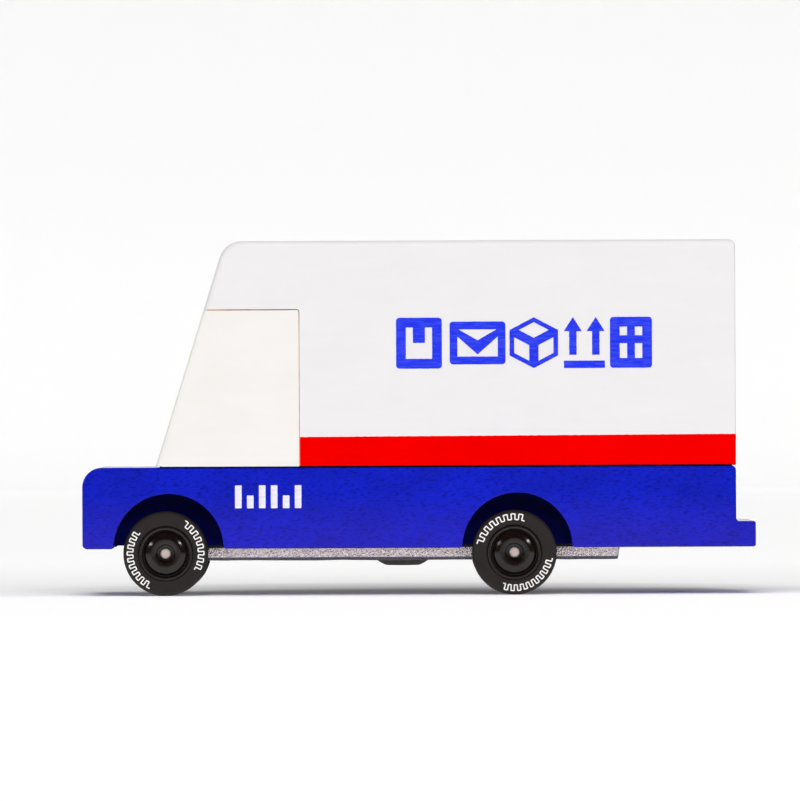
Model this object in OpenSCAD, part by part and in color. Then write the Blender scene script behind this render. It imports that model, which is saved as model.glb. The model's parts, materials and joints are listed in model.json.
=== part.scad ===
// Small wooden mail delivery truck: two painted beech blocks on a cast chassis plate,
// with two axles that turn in the plate and carry rubber tyres on moulded rims.
// Millimetres. +Z is up, the nose points to -X, and the origin is on the floor
// under the middle of the truck. Distances along the truck start at the nose.

/* [Lower body] */
// Length of the lower body, nose to tail, without the bumper step
body_len = 97.1; // [80.5:0.1:125]
// Width of the lower body and of the blocks on it
body_w = 38; // [32:0.5:50]
// Height of the lower body
body_h = 12.1; // [11:0.1:16]
// Radius of the hood, where the nose turns into the deck
hood_r = 2.9; // [1:0.1:5]
// Radius of the tail's top corner
tail_r = 0.8; // [0.3:0.1:2]
// Radius of the nose's bottom corner
nose_r = 0.7; // [0.3:0.1:2]
// Length of the bumper step behind the tail
bumper_len = 2.9; // [1.5:0.1:5]
// Height of the bumper step
bumper_h = 3.8; // [2:0.1:6]
// Radius of the bumper's corners
bumper_r = 0.4; // [0.2:0.1:0.7]
// Radius of the small fillet where the bumper leaves the tail
bumper_fillet = 0.5; // [0.2:0.1:0.8]
// Radius of the long edges of the lower body
body_edge_r = 0.4; // [0.2:0.1:0.8]

/* [Wheel arches] */
// Radial gap between a tyre and its arch
arch_gap = 1.85; // [1:0.05:3]
// How far the centre of each arch lies behind its axle
arch_setback = 0.45; // [0:0.05:1]
// Gap between a tyre and the inner wall of its arch
arch_inner_gap = 1.15; // [0.9:0.05:2]

/* [Cargo box] */
// Height of the cargo box above the deck
box_h = 33.55; // [28:0.05:45]
// Distance from the nose to the foot of the slanted cab front
slant_foot = 10.9; // [8:0.1:14]
// Lean of the cab front from the vertical, in degrees
slant_lean = 17.25; // [10:0.25:22]
// Radius where the cab front turns into the roof
roof_r = 3.4; // [1.5:0.1:5]
// Radius of the roof's long edges
roof_edge_r = 1.0; // [0.4:0.1:2]

/* [Cab window block] */
// Distance from the nose to the rear face of the window block
window_rear = 32.3; // [28:0.1:39]
// Height of the window block above the deck
window_h = 23.35; // [18:0.05:26]
// Radius of the window block's top rear corner
window_r = 0.3; // [0.1:0.1:0.8]

/* [Axles and wheels] */
// Distance from the nose to the front axle
front_axle = 12.35; // [11:0.05:15]
// Distance between the axles
wheelbase = 51.8; // [42:0.1:62.5]
// How far the axles lie below the underside of the lower body
axle_drop = 0.7; // [0.6:0.05:0.8]
// Diameter of an axle
axle_d = 1.5; // [1.2:0.05:1.8]
// Radial running clearance of an axle in its channel
axle_clearance = 0.05; // [0.02:0.01:0.1]
// Chamfer on the ends of an axle
axle_chamfer = 0.15; // [0.05:0.05:0.3]
// Diameter of a tyre
tyre_d = 12.6; // [10.5:0.1:15.2]
// Width of a tyre
tyre_w = 5.5; // [4.5:0.1:6.6]
// Chamfer on the shoulders of a tyre
tyre_shoulder = 0.45; // [0.2:0.05:0.8]
// How far a tyre's outer face lies inside the side of the body
wheel_inset = 0.6; // [0.3:0.1:1.5]
// Diameter of the rim's seat, where the tyre sits
rim_seat_d = 8.1; // [7.4:0.1:8.8]
// How far the rim's faces lie inside the tyre's faces
rim_inset = 0.3; // [0.1:0.05:0.6]
// Width of the rib that keeps the tyre on the rim
rib_w = 1.6; // [1:0.1:2.2]
// Height of the rib that keeps the tyre on the rim
rib_h = 0.4; // [0.2:0.05:0.6]
// Diameter of the domed cap on the rim
cap_d = 6.6; // [5.6:0.1:6.8]
// Height of the domed cap over the rim's face
cap_h = 0.85; // [0.4:0.05:0.9]
// Diameter of the flat on top of the cap
cap_flat_d = 3.6; // [3:0.1:4]
// Width of the groove around the cap
cap_groove_w = 0.15; // [0.1:0.05:0.3]
// Depth of the groove around the cap
cap_groove_depth = 0.3; // [0.1:0.05:0.5]
// Diameter of the well in the cap, where the axle's end shows
well_d = 2.5; // [2:0.1:2.8]
// Depth of the well in the cap
well_depth = 1.0; // [0.6:0.1:1.4]
// How far the axle's end lies below the top of the cap
axle_end_inset = 0.4; // [0.2:0.1:0.8]
// Diameter of the boss behind the rim
boss_d = 3.6; // [3:0.1:4.4]
// Side play between the boss and the wall of the arch
side_play = 0.3; // [0.3:0.05:0.6]

/* [Chassis plate] */
// Thickness of the plate
plate_t = 2.3; // [2.2:0.05:2.6]
// Depth of the groove in the underside of the body that the plate sits in
groove_depth = 0.45; // [0.4:0.05:0.6]
// Gap on each side of the plate in its groove
plate_gap = 0.25; // [0.1:0.05:0.5]
// Length of the plate ahead of the front axle
plate_nose = 3.75; // [3:0.05:6]
// Length of the plate behind the rear axle
plate_tail = 15.85; // [8:0.05:18]
// Radius of the plate's corners, seen from below
plate_corner_r = 0.9; // [0.5:0.1:3]
// Chamfer around the plate's lower edge
plate_chamfer = 0.5; // [0.2:0.05:0.7]
// Depth of the cast pockets in the underside of the plate
pocket_depth = 0.7; // [0.3:0.1:1]
// Width of the border left around each cast pocket
pocket_border = 2.6; // [1.5:0.1:4]
// Radius of the pocket's corners
pocket_r = 1.2; // [0.5:0.1:2]

/* [Chassis screw] */
// Distance from the rear axle forward to the screw
screw_ahead = 16.6; // [12:0.1:24]
// Diameter of the screw's truss head
head_d = 7.8; // [6:0.1:9]
// Height of the screw's head
head_h = 0.9; // [0.7:0.05:1.4]
// Diameter of the flat on the head
head_flat_d = 4.8; // [4:0.1:5.6]
// Length of the cross recess in the head
recess_len = 3; // [2:0.1:4]
// Width of the cross recess in the head
recess_w = 0.6; // [0.4:0.1:0.9]
// Depth of the cross recess in the head
recess_depth = 0.6; // [0.3:0.1:0.7]
// Diameter of the screw's shank
shank_d = 2.6; // [2:0.1:3.2]
// How far the screw bites into the cargo box
screw_bite = 8; // [5:0.5:14]
// Radial clearance of the shank in the plate and the lower body
shank_clearance = 0.2; // [0.1:0.05:0.4]

/* [Dowels] */
// Diameter of the dowels that hold the cargo box on the body
dowel_d = 6; // [4:0.5:7]
// Diameter of the dowel that holds the window block on the body
window_dowel_d = 5; // [4:0.5:6]
// How far each dowel goes into each block
dowel_depth = 7.5; // [5:0.1:8]
// Distance of the dowels under the box from the middle of the truck
dowel_side = 7; // [6:0.1:8]
// Distance from the window block back to the front dowel
dowel_front = 6; // [5:0.1:10]
// Distance from the tail forward to the rear dowel
dowel_rear = 12; // [8:0.1:14]
// Radial glue gap around a dowel
dowel_clearance = 0.05; // [0.02:0.01:0.1]
// Gap between the end of a dowel and the bottom of its hole
dowel_end_gap = 0.3; // [0.2:0.1:0.6]
// Chamfer on the ends of a dowel
dowel_chamfer = 0.5; // [0.3:0.1:0.8]

/* [Hidden] */

$fn = 96;
arc_steps = 8;
cut = 1;

// Heights above the floor
axle_z = tyre_d / 2;
body_z = axle_z + axle_drop;
deck_z = body_z + body_h;
roof_z = deck_z + box_h;
groove_z = body_z + groove_depth;
plate_z = groove_z - plate_t;

// Places along the truck, from the nose
total_len = body_len + bumper_len;
rear_axle = front_axle + wheelbase;
plate_start = front_axle - plate_nose;
plate_end = rear_axle + plate_tail;
screw_at = rear_axle - screw_ahead;
window_dowel_at = (slant_foot + window_rear) / 2;

// Places across the truck, from its middle
arch_depth = wheel_inset + tyre_w + arch_inner_gap;
core_w = body_w - 2 * arch_depth;
plate_w = core_w;
groove_w = plate_w + 2 * plate_gap;
wheel_face = body_w / 2 - wheel_inset;
boss_len = arch_inner_gap - side_play;
cap_top = tyre_w - rim_inset + cap_h;
axle_len = 2 * (wheel_face - tyre_w + cap_top - axle_end_inset);

// Point on the cab front at a height above the deck
function slant_x(h) = slant_foot + h * tan(slant_lean);

function unit(v) = v / norm(v);

// Points of the arc that rounds corner p, between its neighbours a and b
function corner_arc(a, p, b, r) =
    let (
        u = unit(a - p),
        v = unit(b - p),
        half = acos(u * v) / 2,
        centre = p + unit(u + v) * r / sin(half),
        start = p + u * r / tan(half) - centre,
        end = p + v * r / tan(half) - centre,
        turn = atan2(start.x * end.y - start.y * end.x, start * end)
    )
    [
        for (i = [0 : arc_steps])
            let (t = turn * i / arc_steps)
            centre + [
                start.x * cos(t) - start.y * sin(t),
                start.x * sin(t) + start.y * cos(t)
            ]
    ];

// Outline from corners given as [x, y, radius]
function rounded(corners) =
    let (n = len(corners), at = [for (c = corners) [c.x, c.y]])
    [
        for (i = [0 : n - 1])
            each corners[i].z > 0
                ? corner_arc(at[(i + n - 1) % n], at[i], at[(i + 1) % n], corners[i].z)
                : [at[i]]
    ];

// Corners of a rectangle, each as [x, y, radius]
function box_corners(x0, y0, x1, y1, r_low, r_high) =
    [[x0, y0, r_low], [x1, y0, r_low], [x1, y1, r_high], [x0, y1, r_high]];

// Moves what is drawn from the nose to the truck's own origin
module from_nose() {
    translate([-total_len / 2, 0, 0]) children();
}

// A side outline, drawn as [distance from the nose, height], made solid across the truck
module across(width) {
    rotate([90, 0, 0]) linear_extrude(width, center = true) children();
}

// A cross section, drawn as [across, height], made solid along the truck
module along(x0, x1) {
    translate([x0, 0, 0]) rotate([90, 0, 90]) linear_extrude(x1 - x0) children();
}

// The wheel arch pockets of one axle, open at the side and below
module arches(axle_at) {
    arch_r = axle_z + arch_gap;
    for (side = [-1, 1])
        translate([axle_at + arch_setback, side * (body_w / 2 - arch_depth), body_z])
            rotate([-90 * side, 0, 0])
                cylinder(r = arch_r, h = arch_depth + cut);
}

// A blind hole for a dowel, around the joint between two blocks
module dowel_hole(at, side, d) {
    half = dowel_depth + dowel_end_gap;
    translate([at, side, deck_z - half])
        cylinder(d = d + 2 * dowel_clearance, h = 2 * half);
}

// A round bar with chamfered ends, from z = 0 up
module chamfered_bar(d, length, chamfer) {
    cylinder(d1 = d - 2 * chamfer, d2 = d, h = chamfer);
    translate([0, 0, chamfer]) cylinder(d = d, h = length - 2 * chamfer);
    translate([0, 0, length - chamfer]) cylinder(d1 = d, d2 = d - 2 * chamfer, h = chamfer);
}

module dowel(at, side, d) {
    color("burlywood")
        from_nose()
            translate([at, side, deck_z - dowel_depth])
                chamfered_bar(d, 2 * dowel_depth, dowel_chamfer);
}

module lower_body() {
    side = [
        [0, body_z, nose_r],
        [total_len, body_z, bumper_r],
        [total_len, body_z + bumper_h, bumper_r],
        [body_len, body_z + bumper_h, bumper_fillet],
        [body_len, deck_z, tail_r],
        [0, deck_z, hood_r]
    ];
    section = box_corners(-body_w / 2, body_z, body_w / 2, deck_z, body_edge_r, body_edge_r);
    color("mediumblue")
        from_nose()
            difference() {
                intersection() {
                    across(body_w + cut) polygon(rounded(side));
                    along(-cut, total_len + cut) polygon(rounded(section));
                }
                arches(front_axle);
                arches(rear_axle);
                translate([-cut, -groove_w / 2, body_z - cut])
                    cube([total_len + 2 * cut, groove_w, groove_depth + cut]);
                translate([screw_at, 0, body_z - cut])
                    cylinder(r = shank_d / 2 + shank_clearance, h = body_h + 2 * cut);
                dowel_hole(window_rear + dowel_front, -dowel_side, dowel_d);
                dowel_hole(body_len - dowel_rear, dowel_side, dowel_d);
                dowel_hole(window_dowel_at, 0, window_dowel_d);
            }
}

module cargo_box() {
    side = [
        [slant_x(window_h), deck_z + window_h, 0],
        [window_rear, deck_z + window_h, window_r],
        [window_rear, deck_z, 0],
        [body_len, deck_z, 0],
        [body_len, roof_z, roof_edge_r],
        [slant_x(box_h), roof_z, roof_r]
    ];
    section = box_corners(-body_w / 2, deck_z, body_w / 2, roof_z, 0, roof_edge_r);
    color("white")
        from_nose()
            difference() {
                intersection() {
                    across(body_w + cut) polygon(rounded(side));
                    along(0, body_len + cut) polygon(rounded(section));
                }
                translate([screw_at, 0, deck_z - cut])
                    cylinder(d = shank_d, h = screw_bite + cut);
                dowel_hole(window_rear + dowel_front, -dowel_side, dowel_d);
                dowel_hole(body_len - dowel_rear, dowel_side, dowel_d);
            }
}

module cab_window_block() {
    side = [
        [slant_foot, deck_z, 0],
        [window_rear, deck_z, 0],
        [window_rear, deck_z + window_h, window_r],
        [slant_x(window_h), deck_z + window_h, 0]
    ];
    color("ivory")
        from_nose()
            difference() {
                across(body_w) polygon(rounded(side));
                dowel_hole(window_dowel_at, 0, window_dowel_d);
            }
}

module front_dowel() {
    dowel(window_rear + dowel_front, -dowel_side, dowel_d);
}

module rear_dowel() {
    dowel(body_len - dowel_rear, dowel_side, dowel_d);
}

module window_dowel() {
    dowel(window_dowel_at, 0, window_dowel_d);
}

// A half-round channel in the top of the plate, closed by the wood above it
module axle_channel(axle_at) {
    channel_r = axle_d / 2 + axle_clearance;
    translate([axle_at, 0, axle_z])
        rotate([90, 0, 0])
            cylinder(r = channel_r, h = plate_w + 2 * cut, center = true);
    translate([axle_at - channel_r, -plate_w / 2 - cut, axle_z])
        cube([2 * channel_r, plate_w + 2 * cut, plate_t]);
}

// A shallow cast pocket in the underside of the plate
module plate_pocket(x0, x1) {
    half = plate_w / 2 - pocket_border;
    translate([0, 0, plate_z - cut])
        linear_extrude(cut + pocket_depth)
            polygon(rounded(box_corners(x0, -half, x1, half, pocket_r, pocket_r)));
}

module chassis_plate() {
    c = plate_chamfer;
    half = plate_w / 2;
    plan = box_corners(plate_start, -half, plate_end, half, plate_corner_r, plate_corner_r);
    head_clear = head_d / 2 + pocket_border / 2;
    color("silver")
        from_nose()
            difference() {
                intersection() {
                    translate([0, 0, plate_z]) linear_extrude(plate_t) polygon(rounded(plan));
                    across(plate_w + cut)
                        polygon([
                            [plate_start, groove_z],
                            [plate_start, plate_z + c],
                            [plate_start + c, plate_z],
                            [plate_end - c, plate_z],
                            [plate_end, plate_z + c],
                            [plate_end, groove_z]
                        ]);
                    along(plate_start - cut, plate_end + cut)
                        polygon([
                            [-half, groove_z],
                            [-half, plate_z + c],
                            [-half + c, plate_z],
                            [half - c, plate_z],
                            [half, plate_z + c],
                            [half, groove_z]
                        ]);
                }
                axle_channel(front_axle);
                axle_channel(rear_axle);
                plate_pocket(front_axle + pocket_border, screw_at - head_clear);
                plate_pocket(screw_at + head_clear, rear_axle - pocket_border);
                translate([screw_at, 0, plate_z - cut])
                    cylinder(r = shank_d / 2 + shank_clearance, h = plate_t + 2 * cut);
            }
}

module chassis_screw() {
    head = [
        [0, -head_h, 0],
        [head_flat_d / 2, -head_h, head_h / 2],
        [head_d / 2, -head_h / 4, head_h / 8],
        [head_d / 2, 0, 0],
        [0, 0, 0]
    ];
    color("black")
        from_nose()
            translate([screw_at, 0, plate_z])
                difference() {
                    union() {
                        rotate_extrude() polygon(rounded(head));
                        cylinder(d = shank_d, h = deck_z + screw_bite - plate_z);
                    }
                    for (turn = [0, 90])
                        rotate([0, 0, turn])
                            translate([-recess_len / 2, -recess_w / 2, -head_h - cut])
                                cube([recess_len, recess_w, recess_depth + cut]);
                }
}

module axle_shaft(axle_at) {
    color("gainsboro")
        from_nose()
            translate([axle_at, axle_len / 2, axle_z])
                rotate([90, 0, 0])
                    chamfered_bar(axle_d, axle_len, axle_chamfer);
}

// Places a wheel part drawn about Z, with z = 0 at the tyre's inner face.
// side is -1 on the truck's left and 1 on its right
module at_wheel(axle_at, side) {
    from_nose()
        translate([axle_at, side * (wheel_face - tyre_w), axle_z])
            rotate([-90 * side, 0, 0])
                children();
}

module rim(axle_at, side) {
    face = tyre_w - rim_inset;
    profile = [
        [axle_d / 2, -boss_len, 0],
        [boss_d / 2, -boss_len, 0],
        [boss_d / 2, rim_inset, 0],
        [rim_seat_d / 2, rim_inset, 0],
        [rim_seat_d / 2, tyre_w / 2 - rib_w / 2, 0],
        [rim_seat_d / 2 + rib_h, tyre_w / 2 - rib_w / 2, 0],
        [rim_seat_d / 2 + rib_h, tyre_w / 2 + rib_w / 2, 0],
        [rim_seat_d / 2, tyre_w / 2 + rib_w / 2, 0],
        [rim_seat_d / 2, face, 0],
        [cap_d / 2 + cap_groove_w, face, 0],
        [cap_d / 2 + cap_groove_w, face - cap_groove_depth, 0],
        [cap_d / 2, face - cap_groove_depth, 0],
        [cap_d / 2, face, 0],
        [(cap_d + cap_flat_d) / 4, cap_top, cap_h / 2],
        [well_d / 2, cap_top, 0],
        [well_d / 2, cap_top - well_depth, 0],
        [axle_d / 2, cap_top - well_depth, 0]
    ];
    color("#201d1d")
        at_wheel(axle_at, side)
            rotate_extrude() polygon(rounded(profile));
}

module tyre(axle_at, side) {
    s = tyre_shoulder;
    profile = [
        [rim_seat_d / 2, 0],
        [tyre_d / 2 - s, 0],
        [tyre_d / 2, s],
        [tyre_d / 2, tyre_w - s],
        [tyre_d / 2 - s, tyre_w],
        [rim_seat_d / 2, tyre_w],
        [rim_seat_d / 2, tyre_w / 2 + rib_w / 2],
        [rim_seat_d / 2 + rib_h, tyre_w / 2 + rib_w / 2],
        [rim_seat_d / 2 + rib_h, tyre_w / 2 - rib_w / 2],
        [rim_seat_d / 2, tyre_w / 2 - rib_w / 2]
    ];
    color("#38332f")
        at_wheel(axle_at, side)
            rotate_extrude() polygon(profile);
}

lower_body();
cargo_box();
cab_window_block();
front_dowel();
rear_dowel();
window_dowel();
chassis_plate();
chassis_screw();
axle_shaft(front_axle);  // front_axle_shaft
rim(front_axle, -1);  // front_left_rim
rim(front_axle, 1);  // front_right_rim
tyre(front_axle, -1);  // front_left_tyre
tyre(front_axle, 1);  // front_right_tyre
axle_shaft(rear_axle);  // rear_axle_shaft
rim(rear_axle, -1);  // rear_left_rim
rim(rear_axle, 1);  // rear_right_rim
tyre(rear_axle, -1);  // rear_left_tyre
tyre(rear_axle, 1);  // rear_right_tyre
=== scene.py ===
import json
import math

import bmesh
import bpy
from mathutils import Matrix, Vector, noise


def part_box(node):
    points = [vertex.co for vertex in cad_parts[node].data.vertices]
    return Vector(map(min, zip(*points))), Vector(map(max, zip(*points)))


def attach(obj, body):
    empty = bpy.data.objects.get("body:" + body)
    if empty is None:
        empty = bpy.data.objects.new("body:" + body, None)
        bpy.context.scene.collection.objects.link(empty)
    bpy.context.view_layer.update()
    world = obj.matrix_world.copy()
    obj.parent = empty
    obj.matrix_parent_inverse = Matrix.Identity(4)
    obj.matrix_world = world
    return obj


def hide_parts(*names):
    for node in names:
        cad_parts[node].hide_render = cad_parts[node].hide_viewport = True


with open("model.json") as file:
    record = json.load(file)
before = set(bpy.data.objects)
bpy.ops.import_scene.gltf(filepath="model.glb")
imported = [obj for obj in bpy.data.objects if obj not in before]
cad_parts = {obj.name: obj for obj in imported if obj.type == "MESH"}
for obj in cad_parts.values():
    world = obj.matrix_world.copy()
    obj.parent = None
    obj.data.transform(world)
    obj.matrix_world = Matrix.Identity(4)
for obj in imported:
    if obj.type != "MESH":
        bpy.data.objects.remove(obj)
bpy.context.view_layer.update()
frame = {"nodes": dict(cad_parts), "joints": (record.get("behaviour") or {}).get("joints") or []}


# ---------------------------------------------------------------- lower body
# One beech block, sawn and moulded to the truck's side outline, with four
# wheel arch pockets and a groove for the chassis plate routed in it.
# It is sprayed with blue paint that sinks a little into the grain.

def in_mm(point):
    return [1000 * c for c in point]


body_low, body_high = (in_mm(corner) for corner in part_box("lower_body"))
box_high = in_mm(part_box("cargo_box")[1])
joint_at = {joint["name"]: in_mm(joint["pos_m"]) for joint in frame["joints"]}
front_axle_x, _, axle_z = joint_at["front_axle_spin"]
rear_axle_x = joint_at["rear_axle_spin"][0]
nose_x, tail_x, bumper_x = body_low[0], box_high[0], body_high[0]
under_z, deck_z = body_low[2], body_high[2]
side_y = body_high[1]

hood_radius = 2.9
tail_radius = 0.8
nose_radius = 0.7
bumper_height = 3.8
bumper_radius = 0.35
bumper_fillet = 0.5
body_roll = 0.3
deck_roll = 0.24
arch_radius = 8.15
arch_setback = 0.45
arch_lip = 0.45
arch_roll = 0.22
arch_wall_y = 11.75
groove_depth = 0.45
groove_half = 12.0
screw_x = 1000 * sum(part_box("chassis_screw")[i][0] for i in (0, 1)) / 2
screw_hole = 1.5
dowel_clearance, dowel_end_gap = 0.05, 0.3


def rounded(corners, steps=8):
    """Outline points (x, z, roll before, roll after) from corners (x, z, radius, roll of the next edge)."""
    points = []
    for i, (x, z, radius, roll) in enumerate(corners):
        before, after = corners[i - 1], corners[(i + 1) % len(corners)]
        corner = Vector((x, z))
        u = (Vector(before[:2]) - corner).normalized()
        v = (Vector(after[:2]) - corner).normalized()
        if not radius:
            points.append((x, z, before[3], roll))
            continue
        half = math.acos(max(-1, min(1, u.dot(v)))) / 2
        centre = corner + (u + v).normalized() * radius / math.sin(half)
        start = corner + u * radius / math.tan(half) - centre
        end = corner + v * radius / math.tan(half) - centre
        turn = math.atan2(start.x * end.y - start.y * end.x, start.dot(end))
        for k in range(steps + 1):
            t = k / steps
            c, s = math.cos(turn * t), math.sin(turn * t)
            mixed = before[3] * (1 - t) + roll * t
            at = centre + Vector((start.x * c - start.y * s, start.x * s + start.y * c))
            points.append((at.x, at.y, mixed, mixed))
    return points


def inset(outline):
    """How far each outline point moves inwards when its two edges move in by their rolls."""
    moves = []
    for i, (x, z, roll_before, roll_after) in enumerate(outline):
        before, after = outline[i - 1], outline[(i + 1) % len(outline)]
        first = Vector((x - before[0], z - before[1])).normalized()
        second = Vector((after[0] - x, after[1] - z)).normalized()
        n1, n2 = Vector((first.y, -first.x)), Vector((second.y, -second.x))
        det = n1.x * n2.y - n1.y * n2.x
        if abs(det) < 0.02:
            moves.append(-(n1 + n2).normalized() * (roll_before + roll_after) / 2)
        else:
            moves.append(Vector((
                (roll_after * n1.y - roll_before * n2.y) / det,
                (roll_before * n2.x - roll_after * n1.x) / det,
            )))
    return moves


def outward(bm):
    """Turns every face of a closed mesh to face out of it."""
    bm.normal_update()
    bmesh.ops.recalc_face_normals(bm, faces=bm.faces)
    if bm.calc_volume(signed=True) < 0:
        bmesh.ops.reverse_faces(bm, faces=bm.faces)
    bm.normal_update()
    return bm


def solid(outline, stations):
    """Closed mesh that carries an outline, drawn anticlockwise in X and Z, across the truck.
    Each station is (y, share of the roll added to y, share of the roll that the outline is inset by)."""
    bm = bmesh.new()
    moves = inset(outline)
    rings = []
    for y, along, inwards in stations:
        rings.append([
            bm.verts.new((x + m.x * inwards, y + along * (r1 + r2) / 2, z + m.y * inwards))
            for (x, z, r1, r2), m in zip(outline, moves)
        ])
    n = len(outline)
    for a, b in zip(rings, rings[1:]):
        for i in range(n):
            j = (i + 1) % n
            bm.faces.new((a[i], a[j], b[j], b[i]))
    bm.faces.new(rings[0][::-1])
    bm.faces.new(rings[-1])
    return outward(bm)


def rolled(half_width, steps=5):
    """Stations of a block whose long edges are rolled over at both sides."""
    quarter = [math.pi / 2 * k / steps for k in range(steps + 1)]
    left = [(-half_width, 1 - math.cos(t), 1 - math.sin(t)) for t in quarter]
    right = [(half_width, math.cos(t) - 1, 1 - math.sin(t)) for t in reversed(quarter)]
    return left + right


def pocket(inner_y, outer_y, steps=5):
    """Stations of a cutter for a pocket in one side, flared so that the pocket's rim is rolled over."""
    out = 1 if outer_y > 0 else -1
    quarter = [math.pi / 2 * k / steps for k in range(steps + 1)]
    flare = [(outer_y, -out * (1 - math.sin(t)), math.cos(t) - 1) for t in quarter]
    return [(inner_y, 0, 0)] + flare + [(outer_y + out, 0, -1)]


def carved(bm, cutters):
    """Cuts closed meshes out of a closed mesh."""
    def temporary(shape):
        mesh = bpy.data.meshes.new("temporary")
        shape.to_mesh(mesh)
        shape.free()
        ob = bpy.data.objects.new("temporary", mesh)
        bpy.context.scene.collection.objects.link(ob)
        return ob

    block = temporary(bm)
    tools = [temporary(cutter) for cutter in cutters]
    for tool in tools:
        cut = block.modifiers.new("cut", "BOOLEAN")
        cut.object, cut.operation, cut.solver = tool, "DIFFERENCE", "EXACT"
    bpy.context.view_layer.update()
    evaluated = block.evaluated_get(bpy.context.evaluated_depsgraph_get())
    result = bmesh.new()
    result.from_mesh(evaluated.to_mesh())
    evaluated.to_mesh_clear()
    for ob in [block, *tools]:
        bpy.data.meshes.remove(ob.data)
    bmesh.ops.remove_doubles(result, verts=result.verts, dist=0.002)
    return result


def bore(x, y, z0, z1, radius, segments=48):
    """A round cutter that stands upright."""
    ring = [(x + radius * math.cos(a), y + radius * math.sin(a))
            for a in (math.tau * k / segments for k in range(segments))]
    bm = bmesh.new()
    low = [bm.verts.new((*p, z0)) for p in ring]
    high = [bm.verts.new((*p, z1)) for p in ring]
    for i in range(segments):
        j = (i + 1) % segments
        bm.faces.new((low[i], low[j], high[j], high[i]))
    bm.faces.new(low[::-1])
    bm.faces.new(high)
    return bm


def piece(name, bm, body, materials, replaces=(), sharp=32):
    """Makes an object from a mesh in millimetres, shades it and hangs it on its CAD body."""
    for v in bm.verts:
        v.co /= 1000
    bm.normal_update()
    for e in bm.edges:
        e.smooth = len(e.link_faces) == 2 and e.calc_face_angle(0) < math.radians(sharp)
    for f in bm.faces:
        f.smooth = True
    mesh = bpy.data.meshes.new(name)
    bm.to_mesh(mesh)
    bm.free()
    ob = bpy.data.objects.new(name, mesh)
    bpy.context.scene.collection.objects.link(ob)
    for material in materials:
        mesh.materials.append(material)
    flat = ob.modifiers.new("flat faces stay flat", "WEIGHTED_NORMAL")
    flat.keep_sharp, flat.weight = True, 100
    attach(ob, body)
    if replaces:
        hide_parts(*replaces)
    return ob


def linear(hex_colour):
    """sRGB hex to linear colour."""
    parts = [int(hex_colour[i:i + 2], 16) / 255 for i in (1, 3, 5)]
    return (*(c / 12.92 if c <= 0.04045 else ((c + 0.055) / 1.055) ** 2.4 for c in parts), 1)


def finish(name):
    """A new material with only its shader and output, and the shader."""
    material = bpy.data.materials.new(name)
    material.use_nodes = True
    return material, material.node_tree.nodes["Principled BSDF"]


def plug(material, node, **inputs):
    """Fills a node's inputs, each with a value or from a socket. The name i6 stands for input number 6."""
    for key, value in inputs.items():
        numbered = key[0] == "i" and key[1:].isdigit()
        socket = node.inputs[int(key[1:]) if numbered else key.replace("_", " ")]
        if isinstance(value, bpy.types.NodeSocket):
            material.node_tree.links.new(value, socket)
        else:
            socket.default_value = value


def add(material, kind, settings=(), **inputs):
    """Adds a node, makes its own settings, and fills its inputs."""
    node = material.node_tree.nodes.new("ShaderNode" + kind)
    for key, value in dict(settings).items():
        setattr(node, key, value)
    plug(material, node, **inputs)
    return node


def place(material, axis):
    """How far along its own X, Y or Z a point of the object is, in metres."""
    return add(material, "SeparateXYZ", Vector=add(material, "TexCoord").outputs["Object"]).outputs[axis]


def grain(material, size):
    """The object's own place, scaled so that a pattern's cell is size = (x, y, z) millimetres."""
    here = add(material, "TexCoord").outputs["Object"]
    return add(material, "Mapping", Vector=here, Scale=tuple(1000 / s for s in size)).outputs["Vector"]


def mottle(material, size, detail=2.0, **more):
    """Noise whose cells are size = (x, y, z) millimetres."""
    noise_node = add(material, "TexNoise", Vector=grain(material, size), Scale=1.0, Detail=detail, **more)
    return noise_node.outputs["Fac"]


def spread(material, value, low, high, to_low=0.0, to_high=1.0):
    """Moves a value from one range to another, and holds it there."""
    return add(material, "MapRange", Value=value, From_Min=low, From_Max=high,
               To_Min=to_low, To_Max=to_high).outputs[0]


def reckon(material, operation, *values, clamp=False):
    """One step of arithmetic."""
    numbers = {f"i{k}": value for k, value in enumerate(values)}
    return add(material, "Math", {"operation": operation, "use_clamp": clamp}, **numbers).outputs[0]


def blend(material, share, first, second, how="MIX"):
    """Mixes two colours, each an sRGB hex or a socket."""
    first, second = (linear(c) if isinstance(c, str) else c for c in (first, second))
    settings = {"data_type": "RGBA", "blend_type": how}
    return add(material, "Mix", settings, i0=share, i6=first, i7=second).outputs[2]


def raised(material, height, strength, distance=0.0001):
    """Relief of a surface, from a pattern of heights that spans the distance in metres."""
    return add(material, "Bump", Strength=strength, Distance=distance, Height=height).outputs["Normal"]


def painted_beech(name, colour, deep, roughness, relief, streak=(1.6, 0.5, 0.34), sheen=0.4):
    """Spray paint over sanded beech: the grain telegraphs through as short streaks along the block,
    with a fine orange peel between them, so that the satin sheen breaks up."""
    material, shader = finish(name)
    streaks = mottle(material, streak, 4.0, Roughness=0.55)
    peel = mottle(material, (0.42, 0.42, 0.42))
    clouds = mottle(material, (9, 6, 5))
    height = reckon(material, "MULTIPLY_ADD", peel, 0.35, streaks)
    depth = reckon(material, "MULTIPLY_ADD", streaks, 0.6, clouds)
    plug(material, shader, Base_Color=blend(material, spread(material, depth, 0.55, 1.05), deep, colour),
         Normal=raised(material, height, relief), Roughness=roughness, Specular_IOR_Level=sheen)
    return material


def dark_pores(material, colour, size, cover):
    """Adds the beech's open pores, where paint has sunk in: short dark ticks along the block,
    rather sparse and of uneven length."""
    shader = material.node_tree.nodes["Principled BSDF"]
    pore = spread(material, mottle(material, size, Roughness=0.4), cover, cover + 0.07, 0.0, 0.75)
    paint = shader.inputs["Base Color"].links[0].from_socket
    plug(material, shader, Base_Color=blend(material, pore, paint, colour))
    return material


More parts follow.
